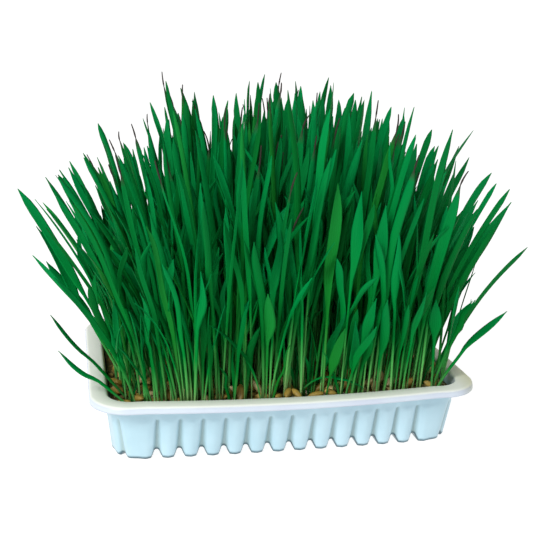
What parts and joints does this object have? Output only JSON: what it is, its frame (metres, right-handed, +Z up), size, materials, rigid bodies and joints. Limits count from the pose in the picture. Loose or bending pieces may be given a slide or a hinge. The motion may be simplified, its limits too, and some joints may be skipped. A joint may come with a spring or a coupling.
{
  "type": "wheatgrass tray",
  "caption": "Shallow fluted plastic tray filled with growing medium and sprouted grain, with a dense stand of young wheatgrass that splays over the rim.",
  "frame": {"origin": "middle of the tray's foot plane, under the middle of the overall box", "axes": "+Z up, +X along the tray's long side, -Y towards the front"},
  "size_m": [0.236, 0.166, 0.1615],
  "materials": {
    "tray_plastic": "thin thermoformed white plastic, slightly bluish and translucent",
    "growing_medium": "damp dark fibrous growing medium",
    "grain": "husked sprouted grain held together by roots",
    "grass": "young grass blades, satin, pale at the foot and dry at the tips"
  },
  "bodies": {
    "root": {"tray": "tray_plastic", "growing_medium": "growing_medium", "seed_mat": "grain", "grass_row_01": "grass", "grass_row_02": "grass", "grass_row_03": "grass", "grass_row_04": "grass", "grass_row_05": "grass", "grass_row_06": "grass", "grass_row_07": "grass", "grass_row_08": "grass", "grass_row_09": "grass", "grass_row_10": "grass", "grass_row_11": "grass", "grass_row_12": "grass"}
  },
  "joints": []
}
